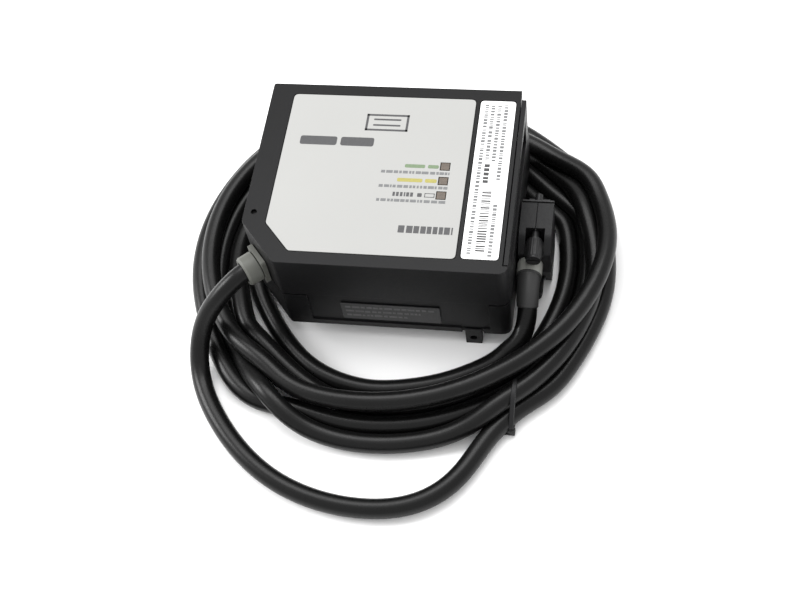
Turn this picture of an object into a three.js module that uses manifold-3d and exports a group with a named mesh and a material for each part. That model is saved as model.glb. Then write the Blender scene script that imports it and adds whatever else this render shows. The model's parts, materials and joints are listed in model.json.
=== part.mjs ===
// Compact fixed-mount laser scanner with its coiled lead and nine-way connector.
// Millimetres, +Z up. The origin is on the surface it stands on, under the middle of the housing.
// The laser window looks along +X, and the lead leaves through the chamfered front left corner.

import * as THREE from 'three';
import { mergeVertices } from 'three/addons/utils/BufferGeometryUtils.js';
import Module from 'manifold-3d';

const wasm = await Module();
wasm.setup();

// ---------------------------------------------------------------- driving dimensions
const WIDTH = 101;            // housing along X
const DEPTH = 85;             // housing along Y
const HEIGHT = 42;            // housing along Z
const LIFT = 8;               // the housing stands on its lug and on one layer of its lead
const CHAMFER_X = 15;         // front left corner, cut for the lead
const CHAMFER_Y = 17.4;
const WALL = 2.4;
const GAP = 0.3;              // clearance between pieces that touch
const CABLE_R = 3.75;

const LEFT = -WIDTH / 2;
const RIGHT = WIDTH / 2;
const FRONT = -DEPTH / 2;
const BACK = DEPTH / 2;
const BASE = LIFT;            // underside of the housing
const TOP = LIFT + HEIGHT;
const SEAM = LIFT + 20;       // where the cover meets the tray
const FLOOR = BASE + WALL;    // inside floor of the tray

// window on the right wall
const STRIP = 1.8;            // thickness of the window bezel
const STRIP_FRONT = FRONT + 3.6;
const STRIP_BACK = BACK - 4.5;
const WINDOW_HALF = 31;       // half the window's length along Y
const WINDOW_Z0 = 33;
const WINDOW_Z1 = 46;

// labels let into the cover
const LABEL_T = 0.3;
const LABEL_POCKET = 0.5;
const LABEL = { x0: -41.2, x1: 31.2, y0: -37, y1: 37.3 };
const ID_LABEL = { x0: 33.1, x1: 46.7, y0: -36.6, y1: 36.9 };
const LABEL_CUT_X = 10.6;     // the label's own chamfer, parallel to the housing's
const LABEL_CUT_Y = 11.9;
const INDICATOR_X = 22.8;
const INDICATOR_YS = [4.3, -2.5, -9.2];
const INDICATOR_SIDE = 3.3;
const VENT = { x: -46.6, y: -20.5, r: 1.15 };

// cable gland on the chamfer
const GLAND_X = -44.3;
const GLAND_Y = -32.3;
const GLAND_Z = 34;
const GLAND_ANGLE = Math.atan2(-CHAMFER_X, -CHAMFER_Y);   // outward normal of the chamfer
const SLEEVE_END = 8.3;       // from the chamfer to the mouth of the sleeve

// scanning unit
const BENCH_Z = 24;
const BENCH_T = 2.4;
const MOTOR_X = 18;
const MOTOR_Y = 6;
const BEAM_Z = 38.5;          // height of the laser beam and of the mirror facets' middle
const BENCH_TOP = BENCH_Z + BENCH_T + GAP;
const LASER_X = MOTOR_X + 10;
const LASER_Y0 = -30.6;
const FOLD_Y = -14;
const LENS_X = 0;
const DETECTOR_X = -14;

// lead
const COIL_X = 1.2;
const COIL_Y = -6.5;
const COIL_IN = 61.7;
const COIL_OUT = 85.3;
const COIL_STEP = 80;         // the outermost turns lie one layer high
const LAYER_1 = 7.7;
const LAYER_2 = 15.3;
const TIE_ANGLE = THREE.MathUtils.degToRad(-52);
const TIE_WIDTH = 2.6;

// connector, standing on edge between the housing and the coil
const HOOD_X = 57.3;
const HOOD_T = 12.3;
const HOOD_H = 31;
const HOOD_BACK = 4;          // where the metal shell's flange sits
const HOOD_SHOULDER = -12;
const HOOD_FRONT = -17;
const HOOD_EXIT_X = 55.7;      // the cable leaves nearer the housing
const HOOD_EXIT_Z = 19.6;
const HOOD_WALL = 1.6;
const SCREW_Z = [3.1, 27.9];
const PORT_R = 4.15;          // bore of every piece the cable passes through

// the free stretch of the lead, from the gland over the coil and round the front
const LOOP = [
  [-50.6, -37.7, 34], [-56.1, -43.0, 32], [-62.6, -47.2, 26.6], [-67.2, -51.4, 19.6], [-69.0, -56.8, 13],
  [-69.2, -63.0, 7.6], [-66.0, -72.2, 4.4], [-59.3, -82.5, 3.8], [-52.5, -91.1, 3.8], [-41.8, -101.1, 3.8],
  [-28.9, -109.2, 3.8], [-13.4, -114.4, 3.8], [2, -116, 3.8], [16.4, -114.4, 3.8], [28.4, -108.8, 3.8],
  [37.4, -99.4, 3.8], [42.0, -90.6, 3.8], [43.9, -85.8, 3.8],
];

// the last stretch, from the connector down to the coil
const TAIL = [[55.7, -30.2, 19.4], [55.9, -33, 17.6], [56, -36.2, 13.9], [55.8, -39.8, 9.8]];

// ---------------------------------------------------------------- materials
function finish(color, roughness, metalness) {
  return new THREE.MeshStandardMaterial({ color, roughness, metalness });
}
const BLACK_PAINT = finish(0x2b2b2c, 0.5, 0.1);
const BLACK_PLASTIC = finish(0x202122, 0.55, 0);
const GREY_PLASTIC = finish(0x8b8d88, 0.5, 0);
const SILVER_FILM = finish(0xd9dadb, 0.35, 0);
const WHITE_FILM = finish(0xf6f6f5, 0.5, 0);
const RUBBER = finish(0x1d1d1e, 0.8, 0);
const PVC = finish(0x242526, 0.45, 0);
const STEEL = finish(0xb9bbbd, 0.3, 1);
const ALUMINIUM = finish(0xc4c6c9, 0.4, 1);
const BRASS = finish(0xb08d4c, 0.35, 1);
const MIRROR = finish(0xf2f4f6, 0.05, 1);
const GLASS = finish(0x3a0d10, 0.08, 0);
const CLEAR_LENS = finish(0xdde6ea, 0.05, 0);
const BOARD = finish(0x1f5a38, 0.5, 0);
const CHIP = finish(0x1a1a1c, 0.45, 0);
const LAMP = finish(0x6c5c4d, 0.3, 0);

// ---------------------------------------------------------------- shape helpers
function toSolid(geometry) {
  const plain = geometry.clone();
  plain.deleteAttribute('normal');
  plain.deleteAttribute('uv');
  const merged = mergeVertices(plain, 1e-4);
  const mesh = new wasm.Mesh({
    numProp: 3,
    vertProperties: new Float32Array(merged.attributes.position.array),
    triVerts: new Uint32Array(merged.index.array),
  });
  return new wasm.Manifold(mesh);
}

function toGeometry(solid) {
  const mesh = solid.getMesh();
  const geometry = new THREE.BufferGeometry();
  geometry.setAttribute('position', new THREE.BufferAttribute(mesh.vertProperties, 3));
  geometry.setIndex(new THREE.BufferAttribute(mesh.triVerts, 1));
  geometry.computeVertexNormals();
  return geometry;
}

function cut(body, ...tools) {
  let solid = toSolid(body);
  for (const tool of tools) solid = solid.subtract(toSolid(tool));
  return toGeometry(solid);
}

function join(body, ...others) {
  let solid = toSolid(body);
  for (const other of others) solid = solid.add(toSolid(other));
  return toGeometry(solid);
}

// a box given by its lowest and highest corners
function block(x0, y0, z0, x1, y1, z1) {
  const box = new THREE.BoxGeometry(x1 - x0, y1 - y0, z1 - z0);
  return box.translate((x0 + x1) / 2, (y0 + y1) / 2, (z0 + z1) / 2);
}

// an upright cylinder standing at z0
function post(x, y, z0, z1, radius, sides = 24) {
  const cylinder = new THREE.CylinderGeometry(radius, radius, z1 - z0, sides);
  return cylinder.rotateX(Math.PI / 2).translate(x, y, (z0 + z1) / 2);
}

// an upright turned piece; its profile is [radius, height] pairs, closed on itself or on the axis
function turned(profile, sides = 32) {
  const points = profile.map(([r, z]) => new THREE.Vector2(r, z));
  return new THREE.LatheGeometry(points, sides).rotateX(Math.PI / 2);
}

// a polygon whose corners [x, y, radius] are rounded
function outline(corners) {
  const shape = new THREE.Shape();
  corners.forEach(([x, y, radius], i) => {
    const here = new THREE.Vector2(x, y);
    const [px, py] = corners[(i + corners.length - 1) % corners.length];
    const [nx, ny] = corners[(i + 1) % corners.length];
    const before = new THREE.Vector2(px - x, py - y).setLength(radius).add(here);
    const after = new THREE.Vector2(nx - x, ny - y).setLength(radius).add(here);
    if (i === 0) shape.moveTo(before.x, before.y);
    else shape.lineTo(before.x, before.y);
    if (radius > 0) shape.quadraticCurveTo(x, y, after.x, after.y);
  });
  shape.closePath();
  return shape;
}

function plate(corners, z0, z1) {
  const options = { depth: z1 - z0, bevelEnabled: false, curveSegments: 4 };
  return new THREE.ExtrudeGeometry(outline(corners), options).translate(0, 0, z0);
}

// the cable's round section swept along hand-chosen points
function cable(points, steps) {
  const section = new THREE.Shape();
  section.absarc(0, 0, CABLE_R, 0, Math.PI * 2);
  const path = new THREE.CatmullRomCurve3(points.map((p) => new THREE.Vector3(...p)));
  return new THREE.ExtrudeGeometry(section, { steps, extrudePath: path, bevelEnabled: false, curveSegments: 5 });
}

const model = new THREE.Group();

function add(name, geometry, material, parent = model) {
  const mesh = new THREE.Mesh(geometry, material);
  mesh.name = name;
  parent.add(mesh);
  return mesh;
}

// the housing's outline, drawn in by `inset` on every side and by `strip` on the right
function housingOutline(inset, strip = 0) {
  const right = RIGHT - strip - inset;
  const shift = inset * 0.45;
  return [
    [LEFT + inset, BACK - inset, 1.2],
    [LEFT + inset, FRONT + CHAMFER_Y + shift, 1],
    [LEFT + CHAMFER_X + shift, FRONT + inset, 1],
    [right, FRONT + inset, 4],
    [right, BACK - inset, 2],
  ];
}

// ---------------------------------------------------------------- housing
const LUG_X0 = 32.6;
const LUG_X1 = 38.9;
const BOSSES = [[-42.5, 35.5], [-26, -36.2], [39.5, -36.2], [39.5, 35.5]];
const BENCH_POSTS = [[-36, 26], [-30, -26], [33, -27.5], [33, 26]];

function lowerHousing() {
  let body = plate(housingOutline(0), BASE, SEAM - GAP / 2);
  body = cut(body, plate(housingOutline(WALL), FLOOR, SEAM + 1));
  const panel = block(LEFT + 24, FRONT - 1, BASE + 3, RIGHT - 8, FRONT + 0.6, SEAM + 1);
  const lugSeat = block(LUG_X0 - 1, FRONT - 1, BASE - 1, LUG_X1 + 1, FRONT + 0.75, BASE + 3.2);
  body = cut(body, panel, lugSeat);
  const bosses = BOSSES.map(([x, y]) => post(x, y, FLOOR - 0.5, SEAM - GAP / 2, 3.6, 16));
  const posts = BENCH_POSTS.map(([x, y]) => post(x, y, FLOOR - 0.5, BENCH_Z - GAP, 3, 12));
  body = join(body, ...bosses, ...posts);
  const shanks = BOSSES.map(([x, y]) => post(x, y, BASE - 1, SEAM + 1, 1.9, 12));
  const heads = BOSSES.map(([x, y]) => post(x, y, BASE - 1, BASE + 3.4, 3.1, 12));
  return cut(body, ...shanks, ...heads);
}

function labelOutline(grow) {
  return [
    [LABEL.x0 - grow, LABEL.y1 + grow, 2],
    [LABEL.x0 - grow, LABEL.y0 + LABEL_CUT_Y - grow * 0.45, 0.8],
    [LABEL.x0 + LABEL_CUT_X - grow * 0.45, LABEL.y0 - grow, 0.8],
    [LABEL.x1 + grow, LABEL.y0 - grow, 2],
    [LABEL.x1 + grow, LABEL.y1 + grow, 2],
  ];
}

function idLabelOutline(grow) {
  return [
    [ID_LABEL.x0 - grow, ID_LABEL.y1 + grow, 1.5],
    [ID_LABEL.x0 - grow, ID_LABEL.y0 - grow, 1.5],
    [ID_LABEL.x1 + grow, ID_LABEL.y0 - grow, 1.5],
    [ID_LABEL.x1 + grow, ID_LABEL.y1 + grow, 1.5],
  ];
}

function indicatorBlock(y, half, z0, z1) {
  return block(INDICATOR_X - half, y - half, z0, INDICATOR_X + half, y + half, z1);
}

function upperCover() {
  let body = plate(housingOutline(0), SEAM + GAP / 2 + 0.5, TOP);
  body = cut(
    body,
    plate(housingOutline(WALL, 4), SEAM - 1, TOP - WALL),
    block(RIGHT - STRIP - GAP, STRIP_FRONT, SEAM - 1, RIGHT + 1, BACK + 1, TOP + 1),
    block(RIGHT - 4, -WINDOW_HALF - 2, WINDOW_Z0 - 2, RIGHT + 1, WINDOW_HALF + 2, WINDOW_Z1 + 1.6),
    block(RIGHT - 9, -WINDOW_HALF, WINDOW_Z0, RIGHT, WINDOW_HALF, WINDOW_Z1),
    plate(labelOutline(0.25), TOP - LABEL_POCKET, TOP + 1),
    plate(idLabelOutline(0.25), TOP - LABEL_POCKET, TOP + 1),
    ...INDICATOR_YS.map((y) => indicatorBlock(y, INDICATOR_SIDE / 2 + GAP, TOP - 5, TOP + 1)),
    post(VENT.x, VENT.y, TOP - 1.4, TOP + 1, VENT.r, 12),
    alongGland(post(0, 0, -6, 3, 4.6, 16)),
  );
  const bosses = BOSSES.map(([x, y]) => post(x, y, SEAM + GAP / 2 + 0.5, TOP - 1, 3.6, 16));
  body = join(body, ...bosses);
  const holes = BOSSES.map(([x, y]) => post(x, y, SEAM - 1, SEAM + 11, 1.8, 12));
  return cut(body, ...holes);
}

function seamGasket() {
  const ring = plate(housingOutline(0.5), SEAM, SEAM + 0.5);
  const holes = BOSSES.map(([x, y]) => post(x, y, SEAM - 1, SEAM + 2, 3.9, 16));
  return cut(ring, plate(housingOutline(WALL - 0.4), SEAM - 1, SEAM + 2), ...holes);
}

function windowBezel() {
  const body = block(RIGHT - STRIP, STRIP_FRONT + GAP, SEAM + GAP / 2 + 0.5, RIGHT, STRIP_BACK, TOP);
  return cut(body, block(RIGHT - 3, -WINDOW_HALF, WINDOW_Z0, RIGHT + 1, WINDOW_HALF, WINDOW_Z1));
}

function windowGlass() {
  const x1 = RIGHT - STRIP - GAP;
  return block(x1 - 1.1, -WINDOW_HALF - 1.6, WINDOW_Z0 - 1.6, x1, WINDOW_HALF + 1.6, WINDOW_Z1 + 1.2);
}

function windowGasket() {
  const x1 = RIGHT - STRIP - 2 * GAP - 1.1;
  const ring = block(x1 - 0.4, -WINDOW_HALF - 1.6, WINDOW_Z0 - 1.6, x1, WINDOW_HALF + 1.6, WINDOW_Z1 + 1.2);
  return cut(ring, block(x1 - 2, -WINDOW_HALF, WINDOW_Z0, x1 + 1, WINDOW_HALF, WINDOW_Z1));
}

function topLabel() {
  const openings = INDICATOR_YS.map((y) => indicatorBlock(y, INDICATOR_SIDE / 2 + 0.25, TOP - 2, TOP + 1));
  return cut(plate(labelOutline(0), TOP - LABEL_T, TOP), ...openings);
}

function coverScrew() {
  const shank = post(0, 0, BASE + 1.4, SEAM + 10, 1.5, 12);
  const socket = post(0, 0, BASE - 1, BASE + 1.6, 1.2, 6);
  return cut(join(post(0, 0, BASE + 0.3, BASE + 3.1, 2.75, 12), shank), socket);
}

function mountingLug() {
  const middle = (LUG_X0 + LUG_X1) / 2;
  const ear = block(LUG_X0, FRONT, 0, LUG_X1, FRONT + 0.45, BASE + 2.4);
  const foot = block(LUG_X0, FRONT, 0, LUG_X1, FRONT + 3.2, BASE - GAP);
  const rib = block(LUG_X0 - 0.7, FRONT, BASE + 1.4, LUG_X1 + 0.7, FRONT + 0.45, BASE + 2.4);
  const hole = post(0, 0, -5, 5, 1.4, 12).rotateX(Math.PI / 2).translate(middle, FRONT + 1, BASE / 2 + 0.2);
  return cut(join(foot, ear, rib), hole);
}

function addHousing() {
  add('lower_housing', lowerHousing(), BLACK_PAINT);
  add('upper_cover', upperCover(), BLACK_PAINT);
  add('seam_gasket', seamGasket(), RUBBER);
  add('window_bezel', windowBezel(), BLACK_PAINT);
  add('window_glass', windowGlass(), GLASS);
  add('window_gasket', windowGasket(), RUBBER);
  add('top_label', topLabel(), SILVER_FILM);
  add('id_label', plate(idLabelOutline(0), TOP - LABEL_T, TOP), WHITE_FILM);
  add('rating_label', block(-14, FRONT + 0.05, BASE + 5.2, 24, FRONT + 0.35, BASE + 16), SILVER_FILM);
  add('mounting_lug', mountingLug(), BLACK_PAINT);
  INDICATOR_YS.forEach((y, i) => {
    add(`light_pipe_${i + 1}`, indicatorBlock(y, INDICATOR_SIDE / 2, TOP - 5, TOP), LAMP);
  });
  BOSSES.forEach(([x, y], i) => {
    add(`cover_screw_${i + 1}`, coverScrew(), STEEL).position.set(x, y, 0);
  });
}

// ---------------------------------------------------------------- gland
// turns a piece that points along +Z so that it points out of the chamfer, at the gland's middle
function alongGland(geometry) {
  return geometry.rotateY(Math.PI / 2).rotateZ(GLAND_ANGLE).translate(GLAND_X, GLAND_Y, GLAND_Z);
}

function glandPlate() {
  const corners = [[-6.4, -5.6, 1.2], [6.4, -5.6, 1.2], [6.4, 5.6, 1.2], [-6.4, 5.6, 1.2]];
  return alongGland(cut(plate(corners, GAP, 2.2), post(0, 0, 0, 4, PORT_R, 20)));
}

function glandSleeve() {
  const from = 2.5;
  const profile = [
    [PORT_R, from], [6, from], [5.9, SLEEVE_END - 0.8], [5.3, SLEEVE_END], [PORT_R, SLEEVE_END], [PORT_R, from],
  ];
  return alongGland(turned(profile, 24));
}

function glandNut() {
  const hexagon = post(0, 0, -5.6, -WALL - GAP - 0.2, 6.6, 6);
  return alongGland(cut(hexagon, post(0, 0, -8, 0, PORT_R, 20)));
}

function addGland() {
  add('gland_plate', glandPlate(), GREY_PLASTIC);
  add('gland_sleeve', glandSleeve(), GREY_PLASTIC);
  add('gland_nut', glandNut(), STEEL);
}

// ---------------------------------------------------------------- scanning unit
function opticalBench() {
  const corners = [[-41, 30, 4], [-41, -12, 4], [-31, -31, 4], [37, -31, 4], [37, 30, 4]];
  const body = plate(corners, BENCH_Z, BENCH_Z + BENCH_T);
  const clearances = BOSSES.map(([x, y]) => post(x, y, BENCH_Z - 1, BENCH_Z + 4, 4.2, 16));
  return cut(body, post(MOTOR_X, MOTOR_Y, BENCH_Z - 1, BENCH_Z + 4, 4.3, 24), ...clearances);
}

function addMotor() {
  const unit = new THREE.Group();
  unit.position.set(MOTOR_X, MOTOR_Y, BENCH_TOP);
  model.add(unit);
  const side = 15;
  const square = [[-side, -side, 3], [side, -side, 3], [side, side, 3], [-side, side, 3]];
  add('motor_board', cut(plate(square, 0, 1.2), post(0, 0, -1, 3, 3.4, 24)), BOARD, unit);
  add('bearing_sleeve', turned([[1.8, -4], [3, -4], [3, 4.4], [1.8, 4.4], [1.8, -4]], 24), BRASS, unit);
  add('motor_stator', turned([[3.4, 1.6], [9, 1.6], [9, 4.2], [3.4, 4.2], [3.4, 1.6]], 24), STEEL, unit);
  add('motor_shaft', turned([[0, -4.4], [1.5, -4.4], [1.5, 15.6], [0, 15.6]], 16), STEEL, unit);
  const hub = [
    [1.8, 4.9], [10.9, 4.9], [10.9, 1.7], [11.9, 1.7], [11.9, 6.2], [5, 6.2], [5, 7.4], [1.8, 7.4], [1.8, 4.9],
  ];
  add('rotor_hub', turned(hub, 32), ALUMINIUM, unit);
  const facets = new THREE.CylinderGeometry(15.5, 15.5, 7.6, 8).rotateX(Math.PI / 2).translate(0, 0, 11.5);
  add('polygon_mirror', cut(facets, post(0, 0, 5, 18, 1.8, 16)), MIRROR, unit);
}

// the laser shines along +Y through a hole in the fold mirror on to the nearest facet, which sends it
// out of the window; the light that comes back is folded along -X, through the lens to the photodiode
function laserHolder() {
  const column = block(LASER_X - 6, LASER_Y0, BENCH_TOP, LASER_X + 6, LASER_Y0 + 8, BEAM_Z + 5.5);
  const foot = block(LASER_X - 7.5, LASER_Y0, BENCH_TOP, LASER_X + 7.5, LASER_Y0 + 8.4, BENCH_TOP + 2.2);
  return cut(join(column, foot), alongY(post(0, 0, -20, 20, 3.3, 20), LASER_X, LASER_Y0, BEAM_Z));
}

function alongX(geometry, x, y, z) {
  return geometry.rotateY(Math.PI / 2).translate(x, y, z);
}

function atFold(geometry) {
  const placed = geometry.rotateZ(Math.PI / 4).translate(LASER_X, FOLD_Y, 0);
  return cut(placed, alongY(post(0, 0, -9, 9, 1.5, 12), LASER_X, FOLD_Y, BEAM_Z));
}

function foldMirrorClip() {
  const foot = block(-5.5, -5, BENCH_TOP, 5.5, -1.1, BENCH_TOP + 1.9);
  const web = block(-5.5, -3.1, BENCH_TOP, 5.5, -1.1, BEAM_Z + 4.5);
  return atFold(join(foot, web));
}

function lensMount() {
  const column = block(LENS_X - 1.8, FOLD_Y - 4.5, BENCH_TOP, LENS_X + 1.8, FOLD_Y + 4.5, BEAM_Z + 5.5);
  const foot = block(LENS_X - 4, FOLD_Y - 4.5, BENCH_TOP, LENS_X + 3, FOLD_Y + 4.5, BENCH_TOP + 2);
  return cut(join(column, foot), alongX(post(0, 0, -6, 6, 3.8, 24), LENS_X, FOLD_Y, BEAM_Z));
}

function addOptics() {
  add('optical_bench', opticalBench(), ALUMINIUM);
  add('laser_holder', laserHolder(), ALUMINIUM);
  const can = turned([[0, 0], [3, 0], [3, 4], [0, 4]], 20);
  add('laser_diode', alongY(can, LASER_X, LASER_Y0 + 0.4, BEAM_Z), BRASS);
  const collimator = turned([[0, 0], [2.9, 0.4], [2.9, 2], [0, 3]], 20);
  add('collimator_lens', alongY(collimator, LASER_X, LASER_Y0 + 4.9, BEAM_Z), CLEAR_LENS);
  add('fold_mirror', atFold(block(-5.5, -0.8, BEAM_Z - 4.5, 5.5, 0.8, BEAM_Z + 4.5)), MIRROR);
  add('fold_mirror_clip', foldMirrorClip(), ALUMINIUM);
  add('lens_mount', lensMount(), BLACK_PLASTIC);
  const lens = turned([[0, -2], [3.5, -0.8], [3.5, 0.8], [0, 2]], 20);
  add('receiver_lens', alongX(lens, LENS_X, FOLD_Y, BEAM_Z), CLEAR_LENS);
  const detector = turned([[0, 0], [2.7, 0], [2.7, 3], [0, 3]], 16);
  add('photodiode', alongX(detector, DETECTOR_X, FOLD_Y, BEAM_Z), STEEL);
  const boardX = DETECTOR_X - GAP;
  add('receiver_board', block(boardX - 1.6, FOLD_Y - 7, BENCH_TOP, boardX, FOLD_Y + 7, BEAM_Z + 8), BOARD);
  addMotor();
}

// ---------------------------------------------------------------- electronics
const BOARD_Z = FLOOR + 3.4;
const BOARD_MOUNTS = [[-30, 14], [-30, -14], [26, 14], [26, -14]];

function addElectronics() {
  const corners = [[-33, 20, 1.5], [-33, -20, 1.5], [29, -20, 1.5], [29, 20, 1.5]];
  add('main_board', plate(corners, BOARD_Z, BOARD_Z + 1.6), BOARD);
  BOARD_MOUNTS.forEach(([x, y], i) => {
    add(`board_standoff_${i + 1}`, post(x, y, FLOOR + GAP, BOARD_Z - GAP, 2.4, 6), BRASS);
  });
  add('processor', block(-8, -8, BOARD_Z + 1.9, 6, 6, BOARD_Z + 3.8), CHIP);
  add('board_connector', block(-24, -18.5, BOARD_Z + 1.9, -8, -12.5, BOARD_Z + 7.4), GREY_PLASTIC);
}

// ---------------------------------------------------------------- lead
function tieBand(inner, outer, grow) {
  const half = TIE_WIDTH / 2 + grow;
  const band = block(outer[0] - grow, -half, outer[1] - grow, outer[2] + grow, half, outer[3] + grow);
  return cut(band, block(inner[0] + grow, -9, inner[1] + grow, inner[2] - grow, 9, inner[3] - grow));
}

function tie(grow) {
  const band = tieBand([COIL_IN + 5.2, 1.3, COIL_OUT - 1.3, 14], [COIL_IN + 4, 0.3, COIL_OUT, 15.2], grow);
  return band.rotateZ(TIE_ANGLE).translate(COIL_X, COIL_Y, 0);
}

function coil() {
  const profile = [
    [COIL_IN, 0], [COIL_OUT, 0], [COIL_OUT, LAYER_1], [COIL_STEP, LAYER_1], [COIL_STEP, LAYER_2],
    [COIL_IN, LAYER_2], [COIL_IN, 0],
  ];
  const ring = turned(profile, 64).translate(COIL_X, COIL_Y, 0);
  const housing = block(LEFT - GAP, FRONT - GAP, BASE - GAP, RIGHT + GAP, BACK + GAP, TOP);
  const connector = block(RIGHT, HOOD_FRONT - 6, -1, HOOD_X + HOOD_T / 2 + 0.4, HOOD_BACK + 18, HOOD_H + 1);
  const tailWay = block(51, TAIL[3][1] - 3.4, -1, 63, HOOD_FRONT, LAYER_2 + 1);
  return cut(ring, housing, connector, tailWay, tie(GAP));
}

function addLead() {
  const start = new THREE.Vector3(Math.cos(GLAND_ANGLE), Math.sin(GLAND_ANGLE), 0);
  const mouth = start.multiplyScalar(2.6).add(new THREE.Vector3(GLAND_X, GLAND_Y, GLAND_Z));
  add('lead_loop', cable([mouth.toArray(), ...LOOP], 34), PVC);
  add('lead_coil', coil(), PVC);
  add('lead_tail', cable(TAIL, 4), PVC);
  add('lead_tie', tie(0), BLACK_PLASTIC);
}

// ---------------------------------------------------------------- connector
// turns a piece that points along +Z so that it points along +Y
function alongY(geometry, x, y, z) {
  return geometry.rotateX(-Math.PI / 2).translate(x, y, z);
}

// the hood's side view: the first axis is Y and the second is Z
const HOOD_PROFILE = [
  [HOOD_BACK - GAP, 0, 0.8],
  [HOOD_BACK - GAP, HOOD_H, 0.8],
  [HOOD_SHOULDER, HOOD_H, 2],
  [HOOD_FRONT, HOOD_EXIT_Z + 5.6, 0.8],
  [HOOD_FRONT, HOOD_EXIT_Z - 5.6, 0.8],
  [HOOD_SHOULDER, 0, 2],
];

// a plate with the hood's side view, from x0 to x1
function hoodPlate(x0, x1) {
  const basis = new THREE.Matrix4().makeBasis(
    new THREE.Vector3(0, 1, 0),
    new THREE.Vector3(0, 0, 1),
    new THREE.Vector3(1, 0, 0),
  );
  return plate(HOOD_PROFILE, x0, x1).applyMatrix4(basis);
}

function hoodHalf(side) {
  const split = HOOD_X + side * 0.15;
  const outer = HOOD_X + side * HOOD_T / 2;
  const inner = outer - side * HOOD_WALL;
  const body = hoodPlate(Math.min(split, outer), Math.max(split, outer));
  const hollow = block(Math.min(HOOD_X, inner), HOOD_SHOULDER + 2, 6.6, Math.max(HOOD_X, inner), HOOD_BACK + 1, 24.4);
  const exit = alongY(post(0, 0, -12, 0, PORT_R, 20), HOOD_EXIT_X, HOOD_FRONT + 8, HOOD_EXIT_Z);
  const channels = SCREW_Z.map((z) => alongY(post(0, 0, -30, 3, 1.9, 12), HOOD_X, HOOD_BACK, z));
  const pockets = SCREW_Z.map((z) => block(
    HOOD_X - 3.6, HOOD_SHOULDER - 8, z - 3.6, HOOD_X + 3.6, HOOD_SHOULDER + 3.5, z + 3.6,
  ));
  return cut(body, hollow, exit, ...channels, ...pockets);
}

function connectorShell() {
  const flange = block(HOOD_X - 6.1, HOOD_BACK, 0.15, HOOD_X + 6.1, HOOD_BACK + 0.8, HOOD_H - 0.15);
  const collar = block(HOOD_X - 4.1, HOOD_BACK, 7, HOOD_X + 4.1, HOOD_BACK + 6.2, 24);
  const hollow = block(HOOD_X - 3.6, HOOD_BACK - 1, 7.5, HOOD_X + 3.6, HOOD_BACK + 8, 23.5);
  const holes = SCREW_Z.map((z) => alongY(post(0, 0, -2, 3, 1.9, 12), HOOD_X, HOOD_BACK, z));
  return cut(join(flange, collar), hollow, ...holes);
}

function thumbScrew(z) {
  const knob = turned([[0, -25.4], [2.9, -25.4], [2.9, -16.2], [1.5, -16.2], [1.5, 5], [0, 5]], 18);
  const slot = block(-3.5, -0.4, -26, 3.5, 0.4, -24.6);
  return alongY(cut(knob, slot), HOOD_X, HOOD_BACK, z);
}

function addConnector() {
  add('hood_left', hoodHalf(-1), BLACK_PLASTIC);
  add('hood_right', hoodHalf(1), BLACK_PLASTIC);
  add('connector_shell', connectorShell(), STEEL);
  add('pin_insulator', block(HOOD_X - 3.3, HOOD_BACK - 1.6, 7.8, HOOD_X + 3.3, HOOD_BACK + 5.9, 23.2), BLACK_PLASTIC);
  add('thumb_screw_upper', thumbScrew(SCREW_Z[1]), STEEL);
  add('thumb_screw_lower', thumbScrew(SCREW_Z[0]), STEEL);
  const ferrule = turned([[PORT_R, -5.6], [4.9, -5.6], [4.9, 0], [PORT_R, 0], [PORT_R, -5.6]], 24);
  add('cable_ferrule', alongY(ferrule, HOOD_EXIT_X, HOOD_FRONT - GAP, HOOD_EXIT_Z), ALUMINIUM);
  const boot = turned([[PORT_R, -6.2], [4.5, -6.2], [4.9, 0], [PORT_R, 0], [PORT_R, -6.2]], 24);
  add('connector_boot', alongY(boot, HOOD_EXIT_X, HOOD_FRONT - 5.6 - 2 * GAP, HOOD_EXIT_Z), RUBBER);
}

addHousing();
addGland();
addOptics();
addElectronics();
addLead();
addConnector();

export default model;
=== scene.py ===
import json
import math
import random

import bmesh
import bpy
import numpy as np
from mathutils import Matrix, Vector


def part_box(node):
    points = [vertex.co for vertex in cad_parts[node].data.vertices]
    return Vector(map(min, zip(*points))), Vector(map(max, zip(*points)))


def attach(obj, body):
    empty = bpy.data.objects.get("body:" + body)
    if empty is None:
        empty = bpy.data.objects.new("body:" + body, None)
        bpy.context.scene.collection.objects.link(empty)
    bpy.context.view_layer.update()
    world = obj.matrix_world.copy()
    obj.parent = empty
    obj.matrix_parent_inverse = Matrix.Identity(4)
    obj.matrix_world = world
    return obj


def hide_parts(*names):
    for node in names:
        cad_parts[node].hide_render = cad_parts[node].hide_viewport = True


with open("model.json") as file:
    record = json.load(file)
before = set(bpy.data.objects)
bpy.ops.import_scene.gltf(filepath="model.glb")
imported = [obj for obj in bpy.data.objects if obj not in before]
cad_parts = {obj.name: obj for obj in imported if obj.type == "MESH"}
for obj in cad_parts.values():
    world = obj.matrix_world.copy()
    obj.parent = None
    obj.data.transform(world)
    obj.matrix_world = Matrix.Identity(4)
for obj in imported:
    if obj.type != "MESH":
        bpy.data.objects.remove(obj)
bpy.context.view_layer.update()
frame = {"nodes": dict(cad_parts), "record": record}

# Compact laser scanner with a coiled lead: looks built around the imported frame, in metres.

MM = 0.001
BODY = "housing"              # the body that pieces ride on, unless they say another

# ------------------------------------------------------------------ camera
CAMERA_PLACE = (0.08975, -0.29484, 0.44132)
CAMERA_RIGHT = (0.984876, 0.134789, -0.108866)
CAMERA_UP = (-0.057409, 0.846704, 0.528960)
CAMERA_LENS = 59.22       # focal length in millimetres
SENSOR_WIDTH = 36
CLIP_START = 0.01


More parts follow.
